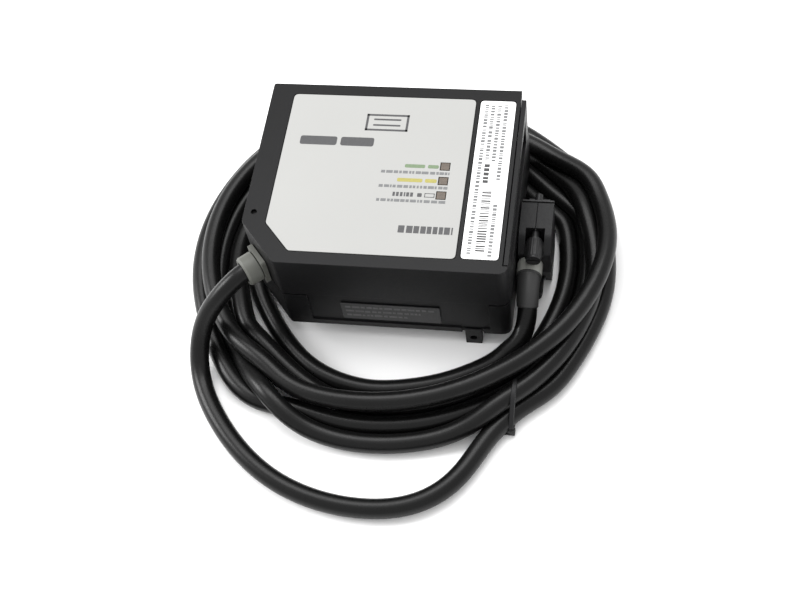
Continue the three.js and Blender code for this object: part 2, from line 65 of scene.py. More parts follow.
def add_camera():
    data = bpy.data.cameras.new("camera")
    data.lens = CAMERA_LENS
    data.sensor_width = SENSOR_WIDTH
    data.clip_start = CLIP_START
    camera = bpy.data.objects.new("camera", data)
    bpy.context.scene.collection.objects.link(camera)
    right, up = Vector(CAMERA_RIGHT), Vector(CAMERA_UP)
    turn = Matrix((right, up, right.cross(up))).transposed().to_4x4()
    camera.matrix_world = Matrix.Translation(CAMERA_PLACE) @ turn
    bpy.context.scene.camera = camera


# ------------------------------------------------------------------ the lead's route
LEAD_R = 3.75 * MM
COIL_CENTRE = (1.2 * MM, -6.5 * MM)

# out of the gland, over the coil's left side and round the front, in millimetres
LOOP = [
    (-45.9, -33.7, 34), (-50.6, -37.7, 34), (-56.1, -43.0, 32), (-62.6, -47.2, 26.6), (-67.2, -51.4, 19.6),
    (-69.0, -56.8, 13), (-69.2, -63.0, 7.6), (-66.0, -72.2, 4.4), (-59.3, -82.5, 3.8), (-52.5, -91.1, 3.8),
    (-41.8, -101.1, 3.8), (-28.9, -109.2, 3.8), (-13.4, -114.4, 3.8), (2, -116, 3.8), (16.4, -114.4, 3.8),
    (28.4, -108.8, 3.8), (37.4, -99.4, 3.8), (42.0, -90.6, 3.8), (43.9, -85.8, 3.8),
]

# each turn of the coil: angle in degrees from +X, radius and height of the centreline in millimetres
FIRST_TURN = [
    (-54, 83, 3.8), (-48, 82.2, 3.8), (-40, 82.4, 3.8), (-15, 83, 3.8), (15, 81.2, 3.8), (45, 78.8, 3.8),
    (90, 79.5, 3.8), (135, 80.5, 3.8), (180, 81, 3.8), (222, 79.8, 3.8), (240, 80, 3.8), (262, 77, 3.8),
    (290, 75, 3.8),
]
SECOND_TURN = [
    (-45, 74.5, 3.8), (-10, 76, 3.8), (15, 74, 3.8), (45, 67, 3.8), (70, 64.6, 3.8), (90, 64.5, 3.8),
    (135, 69.5, 3.8), (180, 73.3, 3.8), (212, 74, 4), (238, 79.3, 9), (258, 83, 6), (280, 83.6, 5),
    (294, 82.3, 6.5),
]
THIRD_TURN = [
    (-45, 81.2, 10.9), (-17, 79.6, 10.8), (10, 77, 10), (42, 71, 4), (90, 71.8, 3.8), (135, 76, 10),
    (180, 75.3, 11), (215, 73.6, 11.3), (240, 73.2, 12.6), (270, 71.3, 14.8), (292, 71.2, 15.5),
]
FOURTH_TURN = [
    (-43, 74.6, 18.2), (-18, 79.8, 18.5), (3, 82, 16.5), (25, 79.6, 13), (45, 73.6, 10.9), (67, 69, 10.8),
    (90, 67.6, 10.8), (135, 65, 5.5), (180, 65.5, 6), (216, 64.2, 11), (236, 66, 9), (252, 67, 6),
    (277, 69, 4.2),
]
FIFTH_TURN = [
    (-45, 71.5, 3.8), (-10, 72.6, 3.8), (15, 69.6, 3.8), (32, 65, 3.8), (50, 60, 3.8), (70, 57.4, 3.8),
    (90, 57, 3.8), (135, 57, 3.8), (180, 58.5, 3.8), (223, 56.8, 3.8), (236, 58.6, 3.8), (250, 61, 3.8),
    (270, 61.8, 3.8),
]
TURNS = [FIRST_TURN, SECOND_TURN, THIRD_TURN, FOURTH_TURN, FIFTH_TURN]
COIL_STEP_DEG = 7.5

# from the coil up to the connector, in millimetres
TAIL = [
    (24.5, -63.6, 3.8), (35.8, -61.0, 3.8), (44.6, -57.2, 3.8), (51.2, -52.2, 4.2), (54.9, -46.0, 6.2),
    (55.8, -39.8, 9.8), (56, -36.2, 13.9), (55.9, -33, 17.6), (55.7, -30.2, 19.4), (55.7, -27, 19.7),
    (55.7, -23, 19.6),
]

SETTLE_STEP = 4 * MM          # spacing of the points that settle
SETTLE_ROUNDS = 300
NEIGHBOUR_ROUNDS = 8          # rounds between searches for turns that could touch
LEAD_GAP = 2 * LEAD_R
NEIGHBOUR_REACH = LEAD_GAP + 3 * MM
SAME_STRETCH = 1.6 * LEAD_GAP  # points nearer than this along the lead don't push each other
REST_CLEARANCE = 0.15 * MM
HELD_START = 3                # points that the gland holds
HELD_END = 2                  # points that the ferrule holds
STIFFNESS = 0.5               # share of the way to a fair curve, each round
MEMORY = 0.012                # share of the way back to the route as laid, each round
SINK = 0.02 * MM              # fall under its own weight, each round
PUSH_PASSES = 2
EXIT_SHARE = 0.5              # share of the way out of a solid that a point inside it goes, each pass
PUSH_STRENGTH = 1.3           # over 1, so that touching turns part within a few rounds
CURVE_STEPS = 12              # fine points between two given ones
TINY = 1e-9


def cubic(x, knots, values):
    """A smooth curve through (knots, values), read at x."""
    slope = np.gradient(values, knots)
    i = np.clip(np.searchsorted(knots, x) - 1, 0, len(knots) - 2)
    h = knots[i + 1] - knots[i]
    t = (x - knots[i]) / h
    start = (2 * t**3 - 3 * t**2 + 1) * values[i] + (t**3 - 2 * t**2 + t) * h * slope[i]
    end = (-2 * t**3 + 3 * t**2) * values[i + 1] + (t**3 - t**2) * h * slope[i + 1]
    return start + end


def even_points(points, step):
    """Points spaced evenly along a Catmull-Rom curve through the given ones."""
    ends = np.vstack([2 * points[0] - points[1], points, 2 * points[-1] - points[-2]])
    fine = []
    for a, b, c, d in zip(ends, ends[1:], ends[2:], ends[3:]):
        for t in np.linspace(0, 1, CURVE_STEPS, endpoint=False):
            cube = (3 * b - a - 3 * c + d) * t**3
            fine.append(0.5 * (2 * b + (c - a) * t + (2 * a - 5 * b + 4 * c - d) * t**2 + cube))
    fine = np.array(fine + [points[-1]])
    along = np.r_[0, np.cumsum(np.linalg.norm(np.diff(fine, axis=0), axis=1))]
    marks = np.linspace(0, along[-1], int(round(along[-1] / step)) + 1)
    return np.stack([np.interp(marks, along, fine[:, k]) for k in range(3)], 1)


def coil_points():
    """The turns as one line of points, from each turn's angles, radii and heights."""
    stations = np.array([(angle + 360 * k, r, z) for k, turn in enumerate(TURNS) for angle, r, z in turn])
    angles = np.arange(stations[0, 0], stations[-1, 0], COIL_STEP_DEG)
    radius = cubic(angles, stations[:, 0], stations[:, 1]) * MM
    height = cubic(angles, stations[:, 0], stations[:, 2]) * MM
    x = COIL_CENTRE[0] + radius * np.cos(np.radians(angles))
    y = COIL_CENTRE[1] + radius * np.sin(np.radians(angles))
    return np.stack([x, y, np.maximum(height, LEAD_R)], 1)


def node_box(*names):
    """Lowest and highest corners of a few nodes together."""
    low = np.min([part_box(n)[0] for n in names], axis=0)
    high = np.max([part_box(n)[1] for n in names], axis=0)
    return low, high


def push_off_box(points, low, high):
    """Moves points off a solid box that they touch. One inside leaves by the nearest side or the bottom."""
    reach = LEAD_R + REST_CLEARANCE
    away = points - np.clip(points, low, high)
    distance = np.linalg.norm(away, axis=1)
    near = (distance < reach) & (distance > TINY)
    points[near] += away[near] / distance[near][:, None] * (reach - distance[near])[:, None]
    for i in np.flatnonzero(distance <= TINY):
        p = points[i]
        exits = [(p[0] - low[0], 0, -1), (high[0] - p[0], 0, 1), (p[1] - low[1], 1, -1),
                 (high[1] - p[1], 1, 1), (p[2] - low[2], 2, -1)]
        depth, axis, sign = min(exits)
        p[axis] += EXIT_SHARE * sign * (depth + reach)


def settle(points, solids):
    """Lays the lead down: it bends smoothly, keeps near the route as laid, and its turns rest on each other.
    """
    laid = points.copy()
    count = len(points)
    spacing = np.linalg.norm(np.diff(points, axis=0), axis=1).mean()
    apart = int(math.ceil(SAME_STRETCH / spacing))
    held = np.zeros(count, bool)
    held[:HELD_START] = True
    held[-HELD_END:] = True
    for round_number in range(SETTLE_ROUNDS):
        if round_number % NEIGHBOUR_ROUNDS == 0:
            squared = ((points[:, None] - points[None]) ** 2).sum(2)
            first, second = np.nonzero(np.triu(squared < NEIGHBOUR_REACH**2, apart))
        moved = points.copy()
        # the place that each point would take on the fairest curve through its four neighbours
        middle = (4 * points[1:-3] + 4 * points[3:-1] - points[:-4] - points[4:]) / 6
        moved[2:-2] += STIFFNESS * (middle - points[2:-2])
        moved += MEMORY * (laid - points)
        moved[:, 2] -= SINK
        for _ in range(PUSH_PASSES):
            offset = moved[first] - moved[second]
            distance = np.sqrt((offset**2).sum(1)) + 1e-12
            hit = distance < LEAD_GAP
            push = ((LEAD_GAP - distance[hit]) / distance[hit])[:, None] * offset[hit]
            total, hits = np.zeros_like(moved), np.zeros(count)
            np.add.at(total, first[hit], 0.5 * push)
            np.add.at(total, second[hit], -0.5 * push)
            np.add.at(hits, first[hit], 1)
            np.add.at(hits, second[hit], 1)
            moved += PUSH_STRENGTH * total / np.maximum(hits, 1)[:, None]
            moved[:, 2] = np.maximum(moved[:, 2], LEAD_R)
            for low, high in solids:
                push_off_box(moved, low, high)
        moved[held] = laid[held]
        points = moved
    return points


def lead_route():
    """The lead's settled centreline, from the gland to the connector."""
    route = np.vstack([np.array(LOOP) * MM, coil_points(), np.array(TAIL) * MM])
    housing = node_box("lower_housing", "upper_cover")
    connector = node_box("hood_left", "hood_right", "connector_shell")
    solids = [housing, connector]
    settled = settle(even_points(route, SETTLE_STEP), solids)
    return even_points(settled, SETTLE_STEP / 2)


# ------------------------------------------------------------------ materials
NOISE_SPREAD = 0.2            # how far the noise is taken to swing around 0.5
GLOSS_SHARE = 0.12            # roughness swings by this share of itself
GLOSS_LEAST = 0.02            # and by this much more
PATCH_DETAIL = 4
GRAIN_DETAIL = 2


def linear(*srgb):
    """Linear colour of sRGB values from 0 to 255."""
    return [((v / 255 + 0.055) / 1.055) ** 2.4 if v > 10 else v / 255 / 12.92 for v in srgb]


def add_noise(tree, scale, detail, stretch=(1, 1, 1)):
    """Noise in the object's own space; stretch squeezes it along an axis."""
    place = tree.nodes.new("ShaderNodeTexCoord")
    mapping = tree.nodes.new("ShaderNodeMapping")
    mapping.inputs["Scale"].default_value = stretch
    noise = tree.nodes.new("ShaderNodeTexNoise")
    noise.inputs["Scale"].default_value = scale
    noise.inputs["Detail"].default_value = detail
    tree.links.new(place.outputs["Object"], mapping.inputs["Vector"])
    tree.links.new(mapping.outputs["Vector"], noise.inputs["Vector"])
    return noise.outputs["Fac"]


def add_range(tree, value, low, high):
    """Maps noise around 0.5 to the range from low to high."""
    node = tree.nodes.new("ShaderNodeMapRange")
    node.inputs["From Min"].default_value = 0.5 - NOISE_SPREAD
    node.inputs["From Max"].default_value = 0.5 + NOISE_SPREAD
    node.inputs["To Min"].default_value = low
    node.inputs["To Max"].default_value = high
    tree.links.new(value, node.inputs["Value"])
    return node.outputs["Result"]


def add_mix(tree, factor, a, b):
    """A colour that goes from a to b as factor goes from 0 to 1."""
    node = tree.nodes.new("ShaderNodeMix")
    node.data_type = "RGBA"
    node.inputs["A"].default_value = [*a, 1]
    node.inputs["B"].default_value = [*b, 1]
    tree.links.new(factor, node.inputs["Factor"])
    return node.outputs["Result"]


def surface(name, color, roughness, metallic=0.0, specular=0.5, mottle=0.1, patch=45, grain=1500,
            bump=0.15, relief=0.02, stretch=(1, 1, 1), coat=0.0, transmission=0.0):
    """A finish whose colour drifts in patches and whose gloss and height follow a fine grain."""
    made = bpy.data.materials.new(name)
    made.use_nodes = True
    tree = made.node_tree
    shader = tree.nodes["Principled BSDF"]
    patches = add_noise(tree, patch, PATCH_DETAIL)
    fine = add_noise(tree, grain, GRAIN_DETAIL, stretch)
    dark = [c * (1 - mottle) for c in color]
    light = [min(c * (1 + mottle), 1) for c in color]
    tree.links.new(add_mix(tree, add_range(tree, patches, 0, 1), dark, light), shader.inputs["Base Color"])
    swing = GLOSS_SHARE * roughness + GLOSS_LEAST
    gloss = add_range(tree, fine, roughness - swing, roughness + swing)
    tree.links.new(gloss, shader.inputs["Roughness"])
    height = tree.nodes.new("ShaderNodeBump")
    height.inputs["Strength"].default_value = bump
    height.inputs["Distance"].default_value = relief * MM
    tree.links.new(fine, height.inputs["Height"])
    tree.links.new(height.outputs["Normal"], shader.inputs["Normal"])
    shader.inputs["Metallic"].default_value = metallic
    shader.inputs["Specular IOR Level"].default_value = specular
    shader.inputs["Coat Weight"].default_value = coat
    shader.inputs["Transmission Weight"].default_value = transmission
    return made


FINISHES = {
    "black_paint": surface("black_paint", linear(15, 15, 16), 0.42, specular=0.15, mottle=0.08, grain=2600,
                           bump=0.35, relief=0.03),
    "cable_jacket": surface("cable_jacket", linear(11, 11, 11), 0.32, specular=0.22, mottle=0.14, patch=70,
                            grain=1900, bump=0.2, relief=0.03),
    "rubber": surface("rubber", linear(22, 22, 23), 0.65, specular=0.25, grain=2200, bump=0.3, relief=0.03),
    "black_plastic": surface("black_plastic", linear(26, 26, 27), 0.5, specular=0.22, grain=2400, bump=0.35,
                             relief=0.03),
    "grey_plastic": surface("grey_plastic", linear(86, 87, 82), 0.5, specular=0.35, mottle=0.05, grain=1700,
                            bump=0.2, relief=0.03),
    "silver_film": surface("silver_film", linear(157, 157, 155), 0.45, specular=0.3, mottle=0.012, patch=25,
                           grain=3500, bump=0.08, relief=0.01),
    "white_film": surface("white_film", linear(240, 240, 240), 0.5, specular=0.4, mottle=0.01, grain=3200,
                          bump=0.06, relief=0.01),
    "red_window": surface("red_window", linear(70, 8, 12), 0.06, mottle=0.04, grain=800, bump=0.02,
                          relief=0.01, transmission=0.75),
    "clear_lens": surface("clear_lens", linear(225, 235, 240), 0.04, mottle=0.02, bump=0.01, relief=0.01,
                          transmission=0.95, coat=0.3),
    "mirror_coat": surface("mirror_coat", linear(240, 242, 245), 0.05, metallic=1, mottle=0.01, bump=0.01,
                           relief=0.01),
    "steel": surface("steel", linear(184, 186, 188), 0.28, metallic=1, mottle=0.06, grain=1400, bump=0.12),
    "aluminium": surface("aluminium", linear(190, 192, 194), 0.36, metallic=1, mottle=0.05, grain=1200,
                         bump=0.2, stretch=(1, 6, 1)),
    "brass": surface("brass", linear(190, 152, 84), 0.3, metallic=1, mottle=0.08, grain=1300, bump=0.12),
    "circuit_board": surface("circuit_board", linear(28, 92, 54), 0.4, mottle=0.2, patch=600, grain=2500,
                             bump=0.2),
    "chip": surface("chip", linear(30, 30, 32), 0.5, grain=2600, bump=0.25),
    "lamp": surface("lamp", linear(72, 60, 47), 0.35, mottle=0.2, patch=500, grain=2400, bump=0.2,
                    stretch=(1, 5, 1)),
}

# inks of the printed marks, and finishes of single pieces; the front label's dark film is painted shade
INK_DARK = surface("ink_dark", linear(50, 50, 52), 0.45, mottle=0.12, patch=900, grain=3000, bump=0.05)
INK_PALE = surface("ink_pale", linear(96, 97, 98), 0.45, patch=900, grain=3000, bump=0.05)
INK_FAINT = surface("ink_faint", linear(66, 66, 66), 0.5, mottle=0.2, patch=300, grain=3000, bump=0.05)
INK_BLACK = surface("ink_black", linear(28, 28, 29), 0.45, mottle=0.25, patch=1500, grain=3000, bump=0.05)
INK_GREEN = surface("ink_green", linear(92, 112, 80), 0.4, mottle=0.08, patch=700, grain=3000, bump=0.05)
INK_YELLOW = surface("ink_yellow", linear(146, 138, 58), 0.4, mottle=0.08, patch=700, grain=3000, bump=0.05)
FERRULE_GREY = surface("ferrule_grey", linear(138, 139, 134), 0.42, metallic=0.1, mottle=0.05, grain=1500,
                       bump=0.1)
BOOT_GREY = surface("boot_grey", linear(50, 50, 50), 0.5, specular=0.35, mottle=0.06, grain=1800, bump=0.2)
DARK_STEEL = surface("dark_steel", linear(34, 34, 35), 0.5, metallic=0.4, mottle=0.08, grain=1500, bump=0.15)
# painted shade: the front label's silver film made dark grey, as it sits in shade
LABEL_SHADE_FILM = surface("label_shade_film", linear(34, 34, 35), 0.42, specular=0.35, mottle=0.05, grain=3000, bump=0.1)


# ------------------------------------------------------------------ pieces
SMOOTH_ANGLE = math.radians(35)
WELD_GAP = 0.002 * MM
FLAT_ANGLE = math.radians(0.5)
EDGE_ANGLE = math.radians(32)
EDGE_SEGMENTS = 3


def add_object(name, data):
    made = bpy.data.objects.new(name, data)
    bpy.context.scene.collection.objects.link(made)
    return made


def add_piece(name, bm, material, body=BODY, replaces=()):
    """A new piece from a bmesh: it takes a finish, rides on a body and may stand for CAD nodes."""
    bmesh.ops.recalc_face_normals(bm, faces=bm.faces)
    mesh = bpy.data.meshes.new(name)
    bm.to_mesh(mesh)
    bm.free()
    mesh.shade_smooth()
    mesh.set_sharp_from_angle(angle=SMOOTH_ANGLE)
    made = add_object(name, mesh)
    made.data.materials.append(material)
    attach(made, body)
    if replaces:
        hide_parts(*replaces)
    return made


def add_ring_loft(bm, rings, closed=False):
    """Joins rings of points with quads: into one closed loop of rings, or with a cap on each end."""
    verts = [[bm.verts.new(p) for p in ring] for ring in rings]
    count = len(verts[0])
    pairs = list(zip(verts, verts[1:] + verts[:1] if closed else verts[1:]))
    for a, b in pairs:
        for i in range(count):
            j = (i + 1) % count
            bm.faces.new((a[i], a[j], b[j], b[i]))
    if not closed:
        bm.faces.new(verts[0][::-1])
        bm.faces.new(verts[-1])


def dress_node(name, slot, width):
    """Gives a CAD node its finish, and rounds its edges."""
    node = frame["nodes"][name]
    node.data.materials.clear()
    node.data.materials.append(FINISHES[slot])
    weld = node.modifiers.new("weld", "WELD")
    weld.merge_threshold = WELD_GAP
    flat = node.modifiers.new("flat", "DECIMATE")
    flat.decimate_type = "DISSOLVE"
    flat.angle_limit = FLAT_ANGLE
    edge = node.modifiers.new("edge", "BEVEL")
    edge.width = width * MM
    edge.segments = EDGE_SEGMENTS
    edge.limit_method = "ANGLE"
    edge.angle_limit = EDGE_ANGLE
    node.data.shade_smooth()
    node.modifiers.new("shade", "WEIGHTED_NORMAL")


# how wide an edge is rounded, in millimetres
EDGE_WIDTH = {
    "lower_housing": 0.5, "upper_cover": 0.85, "window_bezel": 0.2, "mounting_lug": 0.35, "gland_plate": 0.5,
    "top_label": 0.1, "id_label": 0.1, "rating_label": 0.08, "hood_left": 0.5, "hood_right": 0.5,
    "optical_bench": 0.25, "main_board": 0.1,
}
FINE_EDGE = 0.15
OWN_FINISH = {
    # the front label takes the dark film of painted shade in place of its silver
    "rating_label": LABEL_SHADE_FILM, "cable_ferrule": FERRULE_GREY, "connector_shell": DARK_STEEL,
    "thumb_screw_upper": DARK_STEEL, "thumb_screw_lower": DARK_STEEL,
}


def dress_nodes():
    """Every CAD node takes the finish of its slot, or one of its own; the front label's own is painted shade.
    """
    for part in frame["record"]["subparts"]:
        name, slot = part["node"], part["material_slot"]
        dress_node(name, slot, EDGE_WIDTH.get(name, FINE_EDGE))
    for name, finish in OWN_FINISH.items():
        frame["nodes"][name].data.materials[0] = finish


# ------------------------------------------------------------------ lead, tie and boot
LEAD_ROUNDNESS = 6


def add_lead(route):
    """The whole lead as one round curve along the settled route."""
    curve = bpy.data.curves.new("lead", "CURVE")
    curve.dimensions = "3D"
    curve.bevel_depth = LEAD_R
    curve.bevel_resolution = LEAD_ROUNDNESS
    curve.use_fill_caps = True
    spline = curve.splines.new("POLY")
    spline.points.add(len(route) - 1)
    spline.points.foreach_set("co", np.c_[route, np.ones(len(route))].ravel())
    spline.use_smooth = True
    lead = add_object("lead", curve)
    curve.materials.append(FINISHES["cable_jacket"])
    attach(lead, BODY)
    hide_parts("lead_loop", "lead_coil", "lead_tail")
    return lead


UP = Vector((0, 0, 1))

# the tie stands in an upright plane, from above the top strand out to the loop's arm
TIE_FROM = Vector((54.2, -62.5, 0)) * MM
TIE_TOWARDS = Vector((-0.04, -1, 0)).normalized()
TIE_ACROSS = Vector((-TIE_TOWARDS.y, TIE_TOWARDS.x, 0))
TIE_REACH = (2 * MM, 20 * MM)
TIE_TOP = 13 * MM
TIE_THICK = 0.6 * MM
TIE_HALF = 1.0 * MM
TIE_STEP = 0.8 * MM
TIE_SLACK = 0.1 * MM          # between the strands and the band
TIE_LOWEST = 0.2 * MM         # of the outline that the band follows
TIE_CLEAR = 0.05 * MM         # under the band
TIE_SECTION = [(-1, 0), (-0.7, 1), (0.7, 1), (1, 0)]    # across in half widths, outwards in thicknesses
OUTLINE_SIDES = 48


def convex_hull(points):
    """Corners of the convex hull of 2-D points, in order."""
    points = sorted(set(points))

    def half(source):
        chain = []
        for p in source:
            while len(chain) > 1:
                (ax, ay), (bx, by) = chain[-2], chain[-1]
                if (bx - ax) * (p[1] - ay) - (by - ay) * (p[0] - ax) > 0:
                    break
                chain.pop()
            chain.append(p)
        return chain[:-1]

    return half(points) + half(points[::-1])


def held_outline(route):
    """Outlines of the strands that the tie holds, cut by its plane: (outward, up) points."""
    local = route - np.array(TIE_FROM)
    out, side = local @ np.array(TIE_TOWARDS), local @ np.array(TIE_ACROSS)
    points = []
    for i in np.flatnonzero((side[:-1] < 0) != (side[1:] < 0)):
        x, z = float(out[i]), float(route[i, 2])
        if TIE_REACH[0] < x < TIE_REACH[1] and z < TIE_TOP:
            tangent = (route[i + 1] - route[i]) / np.linalg.norm(route[i + 1] - route[i])
            wide = LEAD_R / abs(float(tangent @ np.array(TIE_ACROSS))) + TIE_SLACK
            tall = LEAD_R + TIE_SLACK
            for a in np.linspace(0, 2 * math.pi, OUTLINE_SIDES, endpoint=False):
                points.append((x + wide * math.cos(a), max(z + tall * math.sin(a), TIE_LOWEST)))
    return points


def even_loop(points, step):
    """Points spaced evenly along a closed polygon."""
    ring = np.array(points + points[:1])
    along = np.r_[0, np.cumsum(np.linalg.norm(np.diff(ring, axis=0), axis=1))]
    marks = np.linspace(0, along[-1], int(along[-1] / step), endpoint=False)
    return np.stack([np.interp(marks, along, ring[:, k]) for k in range(2)], 1)


def add_tie(route):
    """The band of the tie, drawn tight round the strands that it holds, and its head."""
    loop = even_loop(convex_hull(held_outline(route)), TIE_STEP)
    middle = loop.mean(0)
    rings = []
    for p in loop:
        normal = (p - middle) / np.linalg.norm(p - middle)
        ring = []
        for across, out in TIE_SECTION:
            q = p + normal * out * TIE_THICK
            lift = max(q[1], TIE_CLEAR)
            ring.append(TIE_FROM + TIE_TOWARDS * q[0] + UP * lift + TIE_ACROSS * across * TIE_HALF)
        rings.append(ring)
    bm = bmesh.new()
    add_ring_loft(bm, rings, closed=True)
    band = add_piece("tie_band", bm, FINISHES["black_plastic"], replaces=["lead_tie"])
    add_tie_head(float(loop[:, 0].max()))
    return band


# the tie's head and the cut end that sticks out of it, in millimetres
HEAD_OUT = 0.2
HEAD_HEIGHT = 1.9
HEAD_SIZE = (2.2, 3.0, 3.2)
HEAD_EDGE = 0.5
END_HALF_WIDTH = 0.9
END_HALF_THICK = 0.35
END_OUT = 0.3
END_FROM, END_LONG = 0.8, 3.6
END_DOWN, END_DROOP = 0.5, 0.9
END_STEPS = 8


def add_tie_head(far):
    """The small buckle low on the outside of the strands, and the cut end that sticks out of it."""
    place = TIE_FROM + TIE_TOWARDS * (far + HEAD_OUT * MM) + UP * HEAD_HEIGHT * MM
    bm = bmesh.new()
    bmesh.ops.create_cube(bm, size=1)
    scale = Matrix.Diagonal((*(side * MM for side in HEAD_SIZE), 1))
    turn = Matrix((TIE_TOWARDS, TIE_ACROSS, UP)).transposed().to_4x4()
    bmesh.ops.transform(bm, matrix=Matrix.Translation(place) @ turn @ scale, verts=bm.verts)
    bmesh.ops.bevel(bm, geom=bm.edges, offset=HEAD_EDGE * MM, segments=3, profile=0.6, affect="EDGES")
    rings = []
    for t in np.linspace(0, 1, END_STEPS):
        sideways = TIE_ACROSS * (END_FROM + END_LONG * t) * MM
        down = UP * (END_DOWN + END_DROOP * t) * MM
        centre = place + TIE_TOWARDS * END_OUT * MM - sideways - down
        rings.append([centre + TIE_TOWARDS * a * END_HALF_WIDTH * MM + UP * b * END_HALF_THICK * MM
                      for a, b in [(-1, -1), (1, -1), (1, 1), (-1, 1)]])
    add_ring_loft(bm, rings)
    add_piece("tie_head", bm, FINISHES["black_plastic"])


BOOT_LENGTH = 12.5 * MM
BOOT_SIDES = 40
# share of the boot's length from the ferrule, and radius in millimetres
BOOT_PROFILE = [
    (0, 3.9), (0, 4.85), (0.07, 4.85), (0.09, 4.4), (0.5, 4.3), (0.9, 4.15), (0.97, 4.1), (1, 3.8),
]


def add_boot(route):
    """The tapered boot behind the ferrule: a collar, then a sleeve that follows the lead to a thin lip."""
    tail = route[::-1]
    along = np.r_[0, np.cumsum(np.linalg.norm(np.diff(tail, axis=0), axis=1))]
    angles = [2 * math.pi * i / BOOT_SIDES for i in range(BOOT_SIDES)]
    rings = []
    for share, radius in BOOT_PROFILE:
        s = share * BOOT_LENGTH
        centre = Vector([float(np.interp(s, along, tail[:, k])) for k in range(3)])
        ahead = Vector([float(np.interp(s + MM, along, tail[:, k])) for k in range(3)])
        axis = (ahead - centre).normalized()
        side = Vector((1, 0, 0)).cross(axis).normalized()
        other = axis.cross(side)
        rings.append([centre + (side * math.cos(a) + other * math.sin(a)) * radius * MM for a in angles])
    bm = bmesh.new()
    add_ring_loft(bm, rings)
    return add_piece("boot", bm, BOOT_GREY, replaces=["connector_boot"])


# ------------------------------------------------------------------ jackscrew grips
GRIP_RIDGES = 20
RIDGE = 0.06                  # millimetres that the ridges rise and fall from the profile
SMOOTH_RADIUS = 2.9           # millimetres; rings up to this radius carry no ridges
# radius and place along the knob of each ring, in millimetres
GRIP_PROFILE = [(2.7, 0.7), (2.95, 0.8), (3.08, 1.2), (3.08, 8.0), (2.95, 8.4), (2.7, 8.5)]


def add_grip(name, node, body):
    """Knurling round a jackscrew's knob: a thin ring with ridges along its axis."""
    low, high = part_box(node)
    centre = Vector(((low.x + high.x) / 2, low.y, (low.z + high.z) / 2))
    sides = 4 * GRIP_RIDGES
    rings = []
    for radius, along in GRIP_PROFILE:
        ring = []
        for i in range(sides):
            a = 2 * math.pi * i / sides
            rise = RIDGE * math.cos(GRIP_RIDGES * a) if radius > SMOOTH_RADIUS else 0
            r = (radius + rise) * MM
            ring.append(centre + Vector((r * math.cos(a), along * MM, r * math.sin(a))))
        rings.append(ring)
    bm = bmesh.new()
    add_ring_loft(bm, rings, closed=True)
    return add_piece(name, bm, DARK_STEEL, body=body)


# ------------------------------------------------------------------ printed marks
PRINT_T = 0.03 * MM
CORNER_STEPS = 5              # points on a bar's rounded corner
SHORTEST_DASH = 0.3


def add_bar(bm, x0, y0, x1, y1, z, radius=0.0):
    """A thin printed bar with rounded corners, lying on height z; the other sizes are in millimetres."""
    radius = min(radius, abs(x1 - x0) / 2, abs(y1 - y0) / 2)
    corners = [(x1 - radius, y1 - radius, 0), (x0 + radius, y1 - radius, 90), (x0 + radius, y0 + radius, 180),
               (x1 - radius, y0 + radius, 270)]
    outline = []
    for x, y, start in corners:
        for step in range(CORNER_STEPS if radius else 1):
            a = math.radians(start + 90 / (CORNER_STEPS - 1) * step)
            outline.append(((x + radius * math.cos(a)) * MM, (y + radius * math.sin(a)) * MM))
    top = [bm.verts.new((x, y, z + PRINT_T)) for x, y in outline]
    bottom = [bm.verts.new((x, y, z)) for x, y in outline]
    bm.faces.new(top)
    bm.faces.new(bottom[::-1])
    for i in range(len(outline)):
        j = (i + 1) % len(outline)
        bm.faces.new((bottom[i], bottom[j], top[j], top[i]))


def add_marks(bm, start, end, middle, height, z, seed, gap, widths, upright=False):
    """A row of plain dashes in place of print, along X or, if upright, along Y."""
    draw = random.Random(seed)
    low, high = middle - height / 2, middle + height / 2
    at = start
    while at < end:
        width = min(draw.uniform(*widths), end - at)
        if width > SHORTEST_DASH:
            if upright:
                add_bar(bm, low, at, high, at + width, z)
            else:
                add_bar(bm, at, low, at + width, high, z)
        at += width + gap * draw.uniform(0.7, 1.5)


def add_frame(bm, x0, y0, x1, y1, line, z):
    """The outline of a rectangle as four bars."""
    add_bar(bm, x0, y0, x1, y0 + line, z)
    add_bar(bm, x0, y1 - line, x1, y1, z)
    add_bar(bm, x0, y0, x0 + line, y1, z)
    add_bar(bm, x1 - line, y0, x1, y1, z)


# the top label's print, in millimetres: a bar is its left, front, right and back, and its corner radius
LAMP_BARS = [(7.5, 3.1, 15.2, 4.7, 0.5), (16.3, 3.1, 20.4, 4.7, 0.5)]
POWER_BARS = [(5.4, -3.6, 15.0, -1.9, 0.5), (16.0, -3.6, 20.4, -1.9, 0.5)]
DARK_BARS = [(13.9, -10.3, 15.6, -8.6, 0.3)]
TITLE_BARS = [
    (-35, 12.4, -20.5, 16.6, 0.9), (-19, 12.4, -6, 16.6, 0.9),
    (-7.6, 22.6, 3.2, 23.4, 0.4), (-7.6, 25.4, 3.2, 26.2, 0.4),
]
# left, front, right and back of an outline, and the width of its line
SMALL_FRAME = (16.6, -10.4, 20.4, -8.5, 0.28)
SYMBOL_FRAME = (-10.5, 20.2, 6.2, 28.4, 0.9)
CAPTION_ROWS = [0.9, -5.8, -12.3]


